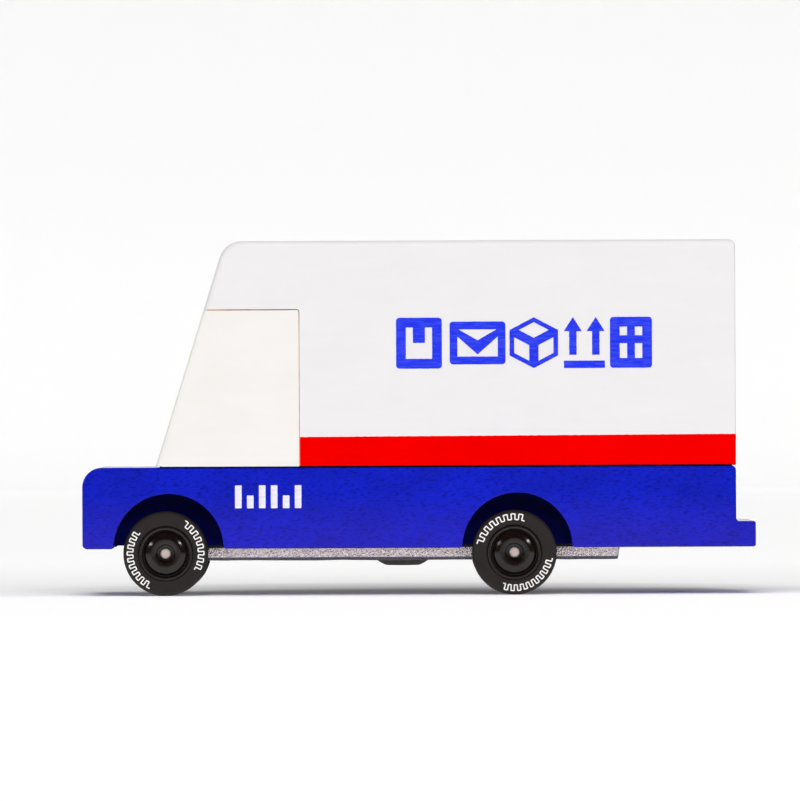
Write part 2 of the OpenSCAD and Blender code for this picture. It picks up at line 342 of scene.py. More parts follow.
def sanded_crown(material, low_z, high_z, fall):
    """Eases the top of the block's faces back, as hand sanding does, to mirror less of the table."""
    up = spread(material, place(material, "Z"), low_z / 1000, high_z / 1000)
    height = reckon(material, "MULTIPLY", reckon(material, "MULTIPLY", up, up), -fall)
    paint_relief = material.node_tree.nodes["Principled BSDF"].inputs["Normal"].links[0].from_node
    plug(material, paint_relief, Normal=raised(material, height, 1.0, 0.001))
    return material


def painted_floor_reflection(material, added, low_z, high_z):
    """Adds a warm painted reflection of the white floor towards the block's foot, where the satin paint
    mirrors more of the table.
    """
    shader = material.node_tree.nodes["Principled BSDF"]
    # thin is the share of the painted floor reflection: full at the foot, none 8 mm up.
    thin = spread(material, place(material, "Z"), low_z / 1000, high_z / 1000, 1.0, 0.0)
    paint = shader.inputs["Base Color"].links[0].from_socket
    plug(material, shader, Base_Color=blend(material, thin, paint, added, "ADD"))
    return material


blue_paint = painted_beech("blue paint on beech", "#0117B8", "#01129F", 0.26, 0.7,
                           (0.8, 0.45, 0.34), sheen=0.2)
blue_paint = dark_pores(blue_paint, "#010A7A", (0.7, 0.35, 0.22), 0.56)
blue_paint = sanded_crown(blue_paint, deck_z - 8.5, deck_z, 0.42)
# Painted reflection: a warm tint towards the foot stands in for the floor mirrored in the satin blue.
blue_paint = painted_floor_reflection(blue_paint, "#1C0C00", under_z, under_z + 8)

body_outline = rounded([
    (nose_x, under_z, nose_radius, body_roll),
    (bumper_x, under_z, bumper_radius, body_roll),
    (bumper_x, under_z + bumper_height, bumper_radius, body_roll),
    (tail_x, under_z + bumper_height, bumper_fillet, body_roll),
    (tail_x, deck_z, tail_radius, deck_roll),
    (nose_x, deck_z, hood_radius, body_roll),
])


def arc(x, z, radius, start, end, steps):
    """Points of an arc about (x, z), from one angle to another in radians."""
    turns = (start + (end - start) * k / steps for k in range(steps + 1))
    return [(x + radius * math.cos(t), z + radius * math.sin(t)) for t in turns]


def arch_cutter(axle_x, side):
    """Wheel arch pocket: a half round whose lower ends turn out in small lips, open at the side and below."""
    middle = axle_x + arch_setback
    tilt = math.asin(arch_lip / (arch_radius + arch_lip))
    reach = (arch_radius + arch_lip) * math.cos(tilt)
    end = math.radians(262)
    right = arc(reach, arch_lip, arch_lip, end, math.pi + tilt, 6)
    half_round = arc(0, 0, arch_radius, tilt, math.pi - tilt, 56)[1:-1]
    left = [(-x, z) for x, z in reversed(right)]
    below = [(left[-1][0] - 0.05, -0.6), (right[0][0] + 0.05, -0.6)]
    outline = [(middle + x, under_z + z, arch_roll, arch_roll) for x, z in right + half_round + left + below]
    return solid(outline, pocket(side * arch_wall_y, side * side_y))


def hole_for(node):
    """Cutter for the hole round an upright dowel."""
    low, high = (in_mm(c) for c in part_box(node))
    return bore((low[0] + high[0]) / 2, (low[1] + high[1]) / 2, low[2] - dowel_end_gap,
                high[2] + dowel_end_gap, (high[0] - low[0]) / 2 + dowel_clearance)


def groove_cutter():
    corners = [(nose_x - 2, under_z - 2), (bumper_x + 2, under_z - 2),
               (bumper_x + 2, under_z + groove_depth), (nose_x - 2, under_z + groove_depth)]
    outline = [(x, z, 0, 0) for x, z in corners]
    return solid(outline, [(-groove_half, 0, 0), (groove_half, 0, 0)])


body_block = carved(solid(body_outline, rolled(side_y)), [
    *(arch_cutter(x, side) for x in (front_axle_x, rear_axle_x) for side in (-1, 1)),
    groove_cutter(),
    bore(screw_x, 0, under_z - 2, deck_z + 2, screw_hole),
    *(hole_for(node) for node in ("front_dowel", "rear_dowel", "window_dowel")),
])
body_block.normal_update()
# Faces inside the arch pockets take material 1, a far darker blue that is painted shade; faces that look up
# take material 2.
for face in body_block.faces:
    centre = face.calc_center_median()
    nearest = min((front_axle_x, rear_axle_x), key=lambda x: abs(x + arch_setback - centre.x))
    reach = math.hypot(centre.x - nearest - arch_setback, centre.z - under_z)
    in_pocket = arch_wall_y - 0.1 < abs(centre.y) < side_y - arch_roll
    if in_pocket and reach < arch_radius + 0.1 and centre.z > under_z:
        face.material_index = 1
    elif face.normal.z > 0.6:
        face.material_index = 2
# Painted shade: the arch pockets' blue is far darker than the body's own.
arch_shade_paint = painted_beech("blue paint darkened as painted shade in the arch pockets", "#02075A", "#020544", 0.7, 0.8, sheen=0.1)
level_paint = painted_beech("blue paint flowed out level", "#0216A8", "#011090", 0.14, 0.06, sheen=0.6)
piece("blue_lower_block", body_block, "truck",
      [blue_paint, arch_shade_paint, level_paint], ["lower_body"])


# -------------------------------------------------------------------- dowels
# Three turned beech dowels, glued upright into holes in the lower block and
# in the blocks above it. They are raw wood, and hidden once the truck is glued.

def raw_beech(name, colour, dark, ring):
    """Unpainted beech: pale tan with close growth rings and short dark flecks along the grain."""
    material, shader = finish(name)
    rings = mottle(material, ring, 3.0)
    fleck = spread(material, mottle(material, (0.3, 0.3, 1.4), 1.0), 0.6, 0.7)
    plug(material, shader, Base_Color=blend(material, fleck, blend(material, rings, dark, colour), dark),
         Normal=raised(material, rings, 0.4), Roughness=0.6)
    return material


dowel_beech = raw_beech("raw beech dowel", "#D9B48A", "#B98A5C", (0.8, 0.8, 9))
for node in ("front_dowel", "rear_dowel", "window_dowel"):
    for held in frame["nodes"][node].material_slots:
        held.material = dowel_beech


# ---------------------------------------------------------- cab window block
# A separate beech block, let into the front of the cargo box and sprayed cream
# before it is glued in. It stands for the windscreen and the side windows.

window_low, window_high = (in_mm(corner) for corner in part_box("cab_window_block"))
slant_foot_x, window_rear_x, window_top_z = window_low[0], window_high[0], window_high[2]
slant_slope = math.tan(math.radians(17.25))
slant_roll = 0.95
seam_roll = 0.14
window_corner = 0.3


def slant_x(z):
    """Where the slanted cab front is, at a height."""
    return slant_foot_x + (z - deck_z) * slant_slope


cream_paint = painted_beech("cream paint on beech", "#E0DDDA", "#DDDAD6", 0.4, 0.12, (5, 1.5, 1.2))
window_outline = rounded([
    (slant_foot_x, deck_z, 0, seam_roll),
    (window_rear_x, deck_z, 0, seam_roll),
    (window_rear_x, window_top_z, window_corner, seam_roll),
    (slant_x(window_top_z), window_top_z, 0, slant_roll),
])
window_block = carved(solid(window_outline, rolled(side_y)), [hole_for("window_dowel")])
piece("cream_window_block", window_block, "truck", [cream_paint], ["cab_window_block"])


# ----------------------------------------------------------------- cargo box
# The tall beech block behind and over the window block, with a slanted front
# and softly sanded roof edges. It is sprayed white, and the red band is
# masked and sprayed along the foot of both sides.

roof_z = box_high[2]
roof_radius = 3.4
roof_roll = 1.0
rear_roll = 0.3
foot_roll = 0.24
rear_radius = 0.25
band_height = 4.45
band_rise = 0.0031
band_steps = 260
band_wobble = 0.05

white_paint = painted_beech("white paint on beech", "#DBD9DA", "#D8D6D7", 0.35, 0.12, (6, 1.6, 1.2))
red_paint = painted_beech("red band paint", "#E20000", "#DA0000", 0.5, 0.15, (4, 0.9, 0.7), sheen=0.0)

box_outline = rounded([
    (slant_x(window_top_z), window_top_z, 0, seam_roll),
    (window_rear_x, window_top_z, window_corner, seam_roll),
    (window_rear_x, deck_z, 0, foot_roll),
    (tail_x, deck_z, rear_radius, rear_roll),
    (tail_x, roof_z, roof_roll, roof_roll),
    (slant_x(roof_z), roof_z, roof_radius, slant_roll),
])
box_block = carved(solid(box_outline, rolled(side_y)), [
    bore(screw_x, 0, deck_z - 2, 1000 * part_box("chassis_screw")[1][2] + 0.1, screw_hole - 0.2),
    *(hole_for(node) for node in ("front_dowel", "rear_dowel")),
])


def mask_band(bm):
    """Cuts the band's upper edge into the block and roughens it as a mask leaves it.
    The faces below it get material 1, the red."""
    foot = Vector((window_rear_x, 0, deck_z + band_height))
    across = Vector((-band_rise, 0, 1)).normalized()
    everything = bm.verts[:] + bm.edges[:] + bm.faces[:]
    cut = bmesh.ops.bisect_plane(bm, geom=everything, plane_co=foot, plane_no=across)
    long_edges = [e for e in cut["geom_cut"] if isinstance(e, bmesh.types.BMEdge) and e.calc_length() > 40]
    bm.normal_update()
    for face in bm.faces:
        below = (face.calc_center_median() - foot).dot(across) < 0
        if below and abs(face.normal.y) > 0.35:
            face.material_index = 1
    new = bmesh.ops.subdivide_edges(bm, edges=long_edges, cuts=band_steps)
    for v in (g for g in new["geom_inner"] if isinstance(g, bmesh.types.BMVert)):
        v.co.z += band_wobble * noise.noise(Vector((v.co.x * 1.7, v.co.y, 0)))
        v.co.z += 0.5 * band_wobble * noise.noise(Vector((v.co.x * 6, v.co.y, 3)))


mask_band(box_block)
piece("white_cargo_box", box_block, "truck", [white_paint, red_paint], ["cargo_box"])


# -------------------------------------------------------------------- joints
# What shows in the hair lines between the glued blocks: raw wood and glue round
# the window block, dark at the top rear and pale down the back, and a near black
# strip of painted shade in the long joint on top of the lower block.

joint_depth = 0.35
window_joint_width, window_joint_sink = 0.22, 0.03
shadow_line_width, shadow_line_sink = 0.34, 0.01


def joint_strip(path, width, sink, side):
    """A thin uneven strip along a path of (x, z) points, that fills the foot of a V joint on one side."""
    path = [Vector(p) for p in path]
    bm = bmesh.new()
    rows = []
    for i, p in enumerate(path):
        run = (path[min(i + 1, len(path) - 1)] - path[max(i - 1, 0)]).normalized()
        out = Vector((-run.y, run.x))
        wide = width / 2 * (1 + 0.6 * noise.noise(Vector((p.x * 1.3, p.y * 1.3, side))))
        skin, core = side * (side_y - sink), side * (side_y - joint_depth)
        rows.append([bm.verts.new((p.x + out.x * w, y, p.y + out.y * w))
                     for w, y in ((wide, core), (wide, skin), (-wide, skin), (-wide, core))])
    for a, b in zip(rows, rows[1:]):
        for k in range(4):
            bm.faces.new((a[k], a[(k + 1) % 4], b[(k + 1) % 4], b[k]))
    bm.faces.new(rows[0])
    bm.faces.new(rows[-1])
    return outward(bm)


def stepped(a, b, n):
    """Points from a towards b in n steps."""
    return [(a[0] + (b[0] - a[0]) * k / n, a[1] + (b[1] - a[1]) * k / n) for k in range(n + 1)]


def window_joint_path():
    front = slant_x(window_top_z) + slant_roll * 0.6
    turn = arc(window_rear_x - window_corner, window_top_z - window_corner, window_corner, math.pi / 2, 0, 6)
    return (stepped((front, window_top_z), turn[0], 60)[:-1] + turn
            + stepped(turn[-1], (window_rear_x, deck_z + 0.1), 60)[1:])


def shadow_line_path():
    return stepped((slant_foot_x + slant_roll * 0.7, deck_z), (tail_x - tail_radius * 0.8, deck_z), 200)


def joint_finish():
    """Glue and bare beech: pale tan down the back, darker brown towards the rear of the top joint."""
    material, shader = finish("glue and bare beech joint")
    rearwards = spread(material, place(material, "X"), (window_rear_x - 14) / 1000, window_rear_x / 1000)
    upwards = spread(material, place(material, "Z"), (window_top_z - 3) / 1000, (window_top_z - 0.2) / 1000)
    corner = reckon(material, "MULTIPLY", rearwards, upwards)
    blotch = reckon(material, "MULTIPLY_ADD", mottle(material, (1.6, 1.6, 1.6), 3.0), 0.9, -0.35, clamp=True)
    burnt = reckon(material, "ADD", corner, blotch, clamp=True)
    plug(material, shader, Base_Color=blend(material, burnt, "#BE9470", "#571D08"), Roughness=0.6)
    return material


joint_brown = joint_finish()
# Painted shade: a near black strip fills the long joint on top of the lower block.
joint_shadow_paint = painted_beech("near black painted shade in the deck joint", "#02041E", "#010210", 0.7, 0.5, sheen=0.1)
for side, word in ((-1, "left"), (1, "right")):
    window_seam = joint_strip(window_joint_path(), window_joint_width, window_joint_sink, side)
    shadow_line_strip = joint_strip(shadow_line_path(), shadow_line_width, shadow_line_sink, side)
    piece(f"window_joint_{word}", window_seam, "truck", [joint_brown])
    piece(f"deck_joint_{word}", shadow_line_strip, "truck", [joint_shadow_paint])


# -------------------------------------------------------------- printed marks
# Generic parcel marks, pad printed in blue on both sides of the cargo box, and
# a row of white bars on both sides of the lower block. The ink is a thin film
# with slightly ragged edges, and wood grain shows through it.

ink_proud = 0.03
ink_sink = 0.02
mark_low_z, mark_high_z = 33.62, 41.18
mark_stroke = 1.45
mark_spans = ((46.7, 53.5), (54.65, 62.95), (63.55, 70.75), (71.6, 77.7), (78.45, 84.7))
bars_low_z, bars_high_z = 13.0, 16.4
bars_start, bars_end = 22.7, 32.55


def ragged(loop, step=0.22, size=0.03):
    """A closed loop cut into short steps and nudged, as a printed edge on wood is."""
    points = []
    for (x0, z0), (x1, z1) in zip(loop, loop[1:] + loop[:1]):
        n = max(1, round(math.hypot(x1 - x0, z1 - z0) / step))
        points += [(x0 + (x1 - x0) * k / n, z0 + (z1 - z0) * k / n) for k in range(n)]
    return [(x + size * noise.noise(Vector((x * 4, z * 4, 1))),
             z + size * noise.noise(Vector((x * 4, z * 4, 7)))) for x, z in points]


def film(loops, side):
    """A thin film of ink on one side of the truck. A loop inside another is a hole in it."""
    bm = bmesh.new()
    base = side * (side_y - ink_sink)
    for loop in loops:
        verts = [bm.verts.new((x, base, z)) for x, z in ragged(loop)]
        for a, b in zip(verts, verts[1:] + verts[:1]):
            bm.edges.new((a, b))
    bmesh.ops.triangle_fill(bm, use_beauty=True, use_dissolve=False, edges=bm.edges[:])
    lifted = bmesh.ops.extrude_face_region(bm, geom=bm.faces[:])
    for v in (g for g in lifted["geom"] if isinstance(g, bmesh.types.BMVert)):
        v.co.y += side * (ink_sink + ink_proud)
    return outward(bm)


def rectangle(x0, z0, x1, z1, radius=0.0):
    """Loop of a rectangle, with round corners if a radius is given."""
    corners = [(x0, z0, radius, 0), (x1, z0, radius, 0), (x1, z1, radius, 0), (x0, z1, radius, 0)]
    return [(x, z) for x, z, _, _ in rounded(corners, 6)]


def taped_parcel(x0, x1, z0, z1, s):
    """A carton seen from the front, with a strip of tape down from its top."""
    middle, tape = (x0 + x1) / 2, s * 0.62
    lid = z0 + (z1 - z0) * 0.62
    return [
        rectangle(x0, z0, x1, z1, 0.5),
        [(x0 + s, z0 + s), (x1 - s, z0 + s), (x1 - s, z1 - s), (middle + tape, z1 - s),
         (middle + tape, lid - s * 0.6), (middle - tape, lid - s * 0.6), (middle - tape, z1 - s),
         (x0 + s, z1 - s)],
    ]


def envelope(x0, x1, z0, z1, s):
    """A closed envelope: its flap is a V from the top corners."""
    low, high = z0 + (z1 - z0) * 0.08, z1 - (z1 - z0) * 0.08
    middle, point = (x0 + x1) / 2, low + (high - low) * 0.42
    slope = (high - point) / (middle - x0)
    drop = s * 0.62 * math.hypot(1, slope)
    inner = s * 0.8
    return [
        rectangle(x0, low, x1, high, 0.5),
        [(x0 + inner, low + inner), (x1 - inner, low + inner), (x1 - inner, high - slope * inner - drop),
         (middle, point - drop), (x0 + inner, high - slope * inner - drop)],
        [(x0 + inner * 1.15, high - inner), (middle, point + drop * 0.75), (x1 - inner * 1.15, high - inner)],
    ]


def carton(x0, x1, z0, z1, s):
    """A carton seen from a corner: a hexagon with three faces left clear."""
    middle, half, tall = (x0 + x1) / 2, (x1 - x0) / 2, z1 - z0
    hexagon = [(middle, z0), (x1, z0 + tall / 4), (x1, z1 - tall / 4), (middle, z1), (x0, z1 - tall / 4),
               (x0, z0 + tall / 4)]
    centre = (middle, (z0 + z1) / 2)

    def clear(a, b, c, d, share):
        """The parallelogram a b c d, shrunk towards its own middle."""
        mx, mz = (a[0] + c[0]) / 2, (a[1] + c[1]) / 2
        return [(mx + (x - mx) * share, mz + (z - mz) * share) for x, z in (a, b, c, d)]

    share = 1 - s / half * 0.95
    return [
        hexagon,
        clear(hexagon[0], hexagon[1], hexagon[2], centre, share),
        clear(hexagon[0], centre, hexagon[4], hexagon[5], share),
        clear(centre, hexagon[2], hexagon[3], hexagon[4], share),
    ]


def this_way_up(x0, x1, z0, z1, s):
    """Two upright arrows over a ground line."""
    loops = [rectangle(x0, z0, x1, z0 + s * 0.75, 0.1)]
    wide = (x1 - x0 - 0.7) / 2
    for start in (x0, x1 - wide):
        middle, shaft, neck = start + wide / 2, s * 0.38, z1 - wide * 0.78
        foot = z0 + s * 1.35
        loops.append([(middle - shaft, foot), (middle + shaft, foot), (middle + shaft, neck),
                      (start + wide, neck), (middle, z1), (start, neck), (middle - shaft, neck)])
    return loops


def tied_parcel(x0, x1, z0, z1, s):
    """A parcel tied both ways with string."""
    middle, string = (x0 + x1) / 2, s * 0.4
    level = z0 + (z1 - z0) * 0.56
    windows = [(x0 + s, middle - string), (middle + string, x1 - s)]
    rows = [(z0 + s, level - string), (level + string, z1 - s)]
    return [rectangle(x0, z0, x1, z1, 0.5)] + [rectangle(a, c, b, d) for a, b in windows for c, d in rows]


def postal_bars():
    """Tall and short upright bars, as sorting machines print."""
    tall = (1, 0, 1, 1, 0, 1)
    pitch = (bars_end - bars_start) / (len(tall) - 0.45)
    wide = pitch * 0.55
    loops = []
    for i, full in enumerate(tall):
        x = nose_x + bars_start + i * pitch
        loops.append(rectangle(x, bars_low_z, x + wide, bars_high_z if full else bars_low_z + 1.9, 0.12))
    return loops


def ink(name, colour, worn, roughness):
    """Pad printing ink over painted wood: even, a little streaked along the grain, with a soft sheen."""
    material, shader = finish(name)
    streaks = mottle(material, (1.8, 0.3, 0.22), 3.0)
    plug(material, shader, Base_Color=blend(material, spread(material, streaks, 0.42, 0.68), colour, worn),
         Normal=raised(material, streaks, 0.3, 0.00005), Roughness=roughness, Specular_IOR_Level=0.2)
    return material


blue_ink = ink("blue pad printing ink", "#1A2CD7", "#3446DA", 0.45)
white_ink = ink("white pad printing ink", "#DCDAE4", "#CFCDE0", 0.45)
mark_makers = (taped_parcel, envelope, carton, this_way_up, tied_parcel)
for side, word in ((-1, "left"), (1, "right")):
    for maker, (start, end) in zip(mark_makers, mark_spans):
        loops = maker(nose_x + start, nose_x + end, mark_low_z, mark_high_z, mark_stroke)
        piece(f"{maker.__name__}_mark_{word}", film(loops, side), "truck", [blue_ink])
    piece(f"postal_bars_{word}", film(postal_bars(), side), "truck", [white_ink])


# ------------------------------------------------------------- chassis plate
# A die cast plate that sits in the groove under the body. Two half-round
# channels in its top hold the axles. It is tumbled, so it sparkles, with a
# stepped lower edge and shallow pockets cast in its underside.

plate_low, plate_high = (in_mm(corner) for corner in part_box("chassis_plate"))
plate_corner = 0.9
plate_profile = ((0.0, 0.6), (0.02, 0.48), (0.1, 0.38), (0.22, 0.34), (0.26, 0.37), (0.3, 0.35), (0.42, 0.34),
                 (0.47, 0.31), (0.52, 0.27), (0.6, 0.25))
plate_wobble = 0.09
plate_wall = 0.6
channel_radius = 0.8
pocket_depth = 0.7
pocket_border = 2.6
pocket_corner = 1.2
head_radius = 3.9


def upright(bm):
    """Turns a mesh that was carried across the truck so that it stands upright instead."""
    for v in bm.verts:
        v.co.y, v.co.z = v.co.z, v.co.y
    return outward(bm)


def plan(x0, x1, half, radius, steps=6):
    """Outline of a rounded rectangle seen from above, with a roll of 1 mm to scale the stations by."""
    corners = [(x0, -half), (x1, -half), (x1, half), (x0, half)]
    return rounded([(x, y, radius, 1) for x, y in corners], steps)


def along(outline, pitch):
    """The same outline with extra points on its long straights, so that they can be moved."""
    points = []
    for a, b in zip(outline, outline[1:] + outline[:1]):
        n = max(1, round(math.hypot(b[0] - a[0], b[1] - a[1]) / pitch))
        points += [(a[0] + (b[0] - a[0]) * k / n, a[1] + (b[1] - a[1]) * k / n, 1, 1) for k in range(n)]
    return points


def cast_plate():
    half = plate_high[1]
    foot = plate_low[2]
    outline = along(plan(plate_low[0], plate_high[0], half, plate_corner), 0.8)
    stations = [(foot + z, 0, share) for z, share in plate_profile] + [(plate_high[2], 0, 0)]
    reach = head_radius + pocket_border / 2
    spans = ((front_axle_x + pocket_border, screw_x - reach), (screw_x + reach, rear_axle_x - pocket_border))
    roof = foot + pocket_depth
    pocket_sides = [(foot - 1, 0, -0.12), (foot, 0, -0.06), (foot + 0.12, 0, 0),
                    (roof - 0.2, 0, 0.06), (roof - 0.05, 0, 0.14), (roof, 0, 0.3)]
    pockets = [upright(solid(plan(x0, x1, half - pocket_border, pocket_corner), pocket_sides))
               for x0, x1 in spans]
    channels = []
    for x in (front_axle_x, rear_axle_x):
        trough = arc(x, axle_z, channel_radius, math.pi, math.tau, 24)
        trough += [(x + channel_radius, plate_high[2] + 1), (x - channel_radius, plate_high[2] + 1)]
        channels.append(solid([(*p, 0, 0) for p in trough], [(-half - 1, 0, 0), (half + 1, 0, 0)]))
    shank_hole = bore(screw_x, 0, foot - 1, plate_high[2] + 1, screw_hole)
    bm = carved(upright(solid(outline, stations)), pockets + channels + [shank_hole])

    def outside(x, y):
        return min(x - plate_low[0], plate_high[0] - x, half - abs(y)) < plate_wall

    for face in bm.faces:
        centre = face.calc_center_median()
        face.material_index = 0 if outside(centre.x, centre.y) and abs(face.normal.z) < 0.95 else 1
    for v in bm.verts:
        if v.co.z < foot + 0.6 and outside(v.co.x, v.co.y):
            v.co.z += plate_wobble * noise.noise(Vector((v.co.x * 0.3, v.co.y * 0.3, 0)))
    return bm


def cast_silver(name, banded_and_shaded):
    """Tumbled zinc casting: a pale metal whose skin is a fine crust of facets about 0.2 mm across, so that
    single facets catch the light. The banded kind, for the plate's outer walls, is darker and pinker towards
    its top, dark slate along its foot, and near black inside the groove: painted shade, where some paint has
    also run in."""
    material, shader = finish(name)
    facets = add(material, "TexVoronoi", Vector=grain(material, (0.22, 0.22, 0.22)), Scale=1.0)
    swell = mottle(material, (1.6, 1.6, 0.6), 4.0)
    height = reckon(material, "MULTIPLY_ADD", swell, 1.5, facets.outputs["Distance"])
    tint = blend(material, spread(material, facets.outputs["Color"], 0.1, 0.95), "#BFB0AE", "#FFFBF8")
    if banded_and_shaded:
        # Bands by height: darker and pinker towards the top, dark slate along the foot, and near black inside
        # the groove as painted shade.
        for low, high, least, most, colour in (
                (plate_low[2] + 0.6, under_z, 0.0, 0.35, "#9C8082"),
                (plate_low[2] + 0.44, plate_low[2] + 0.5, 0.85, 0.0, "#39414F"),
                (under_z - 0.02, under_z + 0.06, 0.0, 0.97, "#07071C")):
            amount = spread(material, place(material, "Z"), low / 1000, high / 1000, least, most)
            tint = blend(material, amount, tint, colour)
    plug(material, shader, Base_Color=tint, Normal=raised(material, height, 0.6),
         Roughness=spread(material, swell, 0.0, 1.0, 0.16, 0.28), Metallic=0.95)
    return material


cast_metal = [cast_silver("stained zinc casting", True), cast_silver("tumbled zinc casting", False)]
piece("cast_chassis_plate", cast_plate(), "truck", cast_metal, ["chassis_plate"])


# ------------------------------------------------------------- chassis screw
# A black oxide truss-head screw that clamps the plate, the lower block and the
# cargo box together. Its low domed head has a cross recess.

screw_top_z = 1000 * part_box("chassis_screw")[1][2]
head_height = 0.9
head_side = ((2.05, 0.9), (2.35, 0.885), (2.6, 0.83), (2.95, 0.68), (3.35, 0.45), (3.7, 0.24),
             (3.85, 0.12), (3.9, 0.0))
shank_radius = 1.3
recess = (1.5, 0.3, 0.6)


def turned(profile, segments=96):
    """Mesh of revolution about +Z from (radius, height) points.
    The profile is closed, or starts and ends on the axis."""
    bm = bmesh.new()
    rows = []
    for radius, height in profile:
        if radius < 1e-6:
            rows.append([bm.verts.new((0, 0, height))])
        else:
            rows.append([bm.verts.new((radius * math.cos(a), radius * math.sin(a), height))
                         for a in (math.tau * k / segments for k in range(segments))])
    pairs = list(zip(rows, rows[1:]))
    if len(rows[0]) > 1:
        pairs.append((rows[-1], rows[0]))
    for a, b in pairs:
        for k in range(segments):
            j = (k + 1) % segments
            ring = [a[k % len(a)], a[j % len(a)], b[j % len(b)], b[k % len(b)]]
            bm.faces.new(list(dict.fromkeys(ring)))
    return outward(bm)


def truss_screw():
    foot = plate_low[2]
    side = [(r, -z) for r, z in head_side]
    profile = [(0, -head_height)] + side + [(shank_radius, 0), (shank_radius, screw_top_z - foot - 1.2),
                                            (0, screw_top_z - foot)]
    bm = turned(profile, 72)
    long, wide, deep = recess
    slots = []
    for a, b in ((long, wide), (wide, long)):
        corners = [(-a, -head_height - 1, 0, 0), (a, -head_height - 1, 0, 0),
                   (a * 0.72 if a > b else a, -head_height + deep, 0, 0),
                   (-a * 0.72 if a > b else -a, -head_height + deep, 0, 0)]
        slots.append(solid(corners, [(-b, 0, 0), (b, 0, 0)]))
    bm = carved(bm, slots)
    bmesh.ops.translate(bm, verts=bm.verts, vec=(screw_x, 0, foot))
    return bm


def black_oxide():
    """Blackened steel: nearly black, with a soft oily sheen and faint turning marks."""
    material, shader = finish("black oxide steel")
    marks = mottle(material, (0.5, 0.5, 0.12), 3.0)
    plug(material, shader, Base_Color=blend(material, marks, "#474341", "#8C8481"),
         Normal=raised(material, marks, 0.2, 0.00004),
         Roughness=spread(material, marks, 0.0, 1.0, 0.28, 0.48), Metallic=0.6)
    return material


piece("truss_head_screw", truss_screw(), "truck", [black_oxide()], ["chassis_screw"])


# --------------------------------------------------------------------- axles
# Two lengths of drawn steel wire, cropped and lightly chamfered. They turn in
# the plate's channels, and their ends show in the wells of the wheel caps.

axle_radius = 0.75
axle_chamfer = 0.15
wheelsets = (("front", front_axle_x), ("rear", rear_axle_x))


def across_at(bm, x, flip=1):
    """Lays a mesh that was turned about +Z along the axle at x. flip -1 points it at the truck's left."""
    for v in bm.verts:
        v.co = Vector((x + v.co.x, flip * v.co.z, axle_z + v.co.y))
    return outward(bm)


def drawn_steel():
    """Bright drawn wire: fine scratches along it, and a duller cropped end."""
    material, shader = finish("drawn steel wire")
    scratches = mottle(material, (0.12, 3, 0.12), 3.0)
    speck = mottle(material, (0.25, 0.25, 0.25))
    plug(material, shader, Base_Color=blend(material, scratches, "#C8B5AE", "#F6E4DC"),
         Normal=raised(material, speck, 0.3, 0.00003), Metallic=0.7, Roughness=0.5)
    return material


axle_steel = drawn_steel()
axle_half = 1000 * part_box("front_axle_shaft")[1][1]
for end, x in wheelsets:
    tip = axle_radius - axle_chamfer
    profile = [(0, -axle_half), (tip, -axle_half), (axle_radius, -axle_half + axle_chamfer),
               (axle_radius, axle_half - axle_chamfer), (tip, axle_half), (0, axle_half)]
    piece(f"{end}_axle_wire", across_at(turned(profile, 48), x), f"{end}_wheelset",
          [axle_steel], [f"{end}_axle_shaft"])


# ---------------------------------------------------------------------- rims
# Moulded gloss black rims, pressed on the axles. A raised ring stands inside
# the tyre, a groove runs round the domed cap, and the cap has a well that
# shows the end of the axle.

tyre_low, tyre_high = (in_mm(corner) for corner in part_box("front_right_tyre"))
tyre_inner_y, tyre_outer_y = tyre_low[1], tyre_high[1]
tyre_radius = (tyre_high[2] - tyre_low[2]) / 2
rim_boss_y, cap_top_y = (in_mm(corner)[1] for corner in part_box("front_right_rim"))
rim_seat = 4.05
rim_face_y = tyre_outer_y - 0.3
rim_rib = (0.4, 0.8)
cap_radius = 3.3
cap_well = 1.35
cap_well_depth = 1.0
cap_groove = (0.12, 0.25)
boss_radius = 1.8


def rim_profile():
    middle = (tyre_inner_y + tyre_outer_y) / 2
    height, half = rim_rib
    gap, deep = cap_groove
    outside = rim_face_y - 0.02
    corners = [
        (axle_radius, rim_boss_y, 0.1), (boss_radius, rim_boss_y, 0.15),
        (boss_radius, tyre_inner_y + 0.3, 0.3), (rim_seat, tyre_inner_y + 0.3, 0.12),
        (rim_seat, middle - half, 0), (rim_seat + height, middle - half, 0.1),
        (rim_seat + height, middle + half, 0.1), (rim_seat, middle + half, 0), (rim_seat, outside - 0.35, 0),
        (rim_seat, outside - 0.1, 0.02), (rim_seat - 0.06, outside, 0.04),
        (cap_radius + gap + 0.06, outside, 0.12),
        (cap_radius + gap, outside - deep, 0.05), (cap_radius, outside - deep, 0.05),
        (cap_radius - 0.01, outside + 0.08, 0.1), (2.9, cap_top_y - 0.24, 0.5), (2.3, cap_top_y, 0.7),
        (cap_well, cap_top_y, 0.12), (cap_well - 0.04, cap_top_y - cap_well_depth, 0.1),
        (axle_radius, cap_top_y - cap_well_depth, 0),
    ]
    return [(r, y) for r, y, _, _ in rounded([(*c, 0) for c in corners], 5)]


def gloss_moulding():
    """Injection moulded black plastic: a deep gloss with the faintest flow ripple and dust."""
    material, shader = finish("gloss black moulding")
    ripple = mottle(material, (1.5, 1.5, 1.5))
    dust = mottle(material, (0.2, 0.2, 0.2), 1.0)
    plug(material, shader, Base_Color=blend(material, ripple, "#0D0705", "#140B08"),
         Normal=raised(material, ripple, 0.08, 0.00005),
         Roughness=spread(material, dust, 0.4, 0.75, 0.14, 0.22))
    return material


def well_shade_finish():
    """The moulded well's inside: darker than the rim as painted shade round the axle end, dull, and a little
    brown with grease.
    """
    material, shader = finish("black moulding darkened as painted shade in the well")
    grease = mottle(material, (0.5, 0.5, 0.5))
    plug(material, shader, Base_Color=blend(material, grease, "#070303", "#120708"),
         Roughness=0.8, Specular_IOR_Level=0.1)
    return material


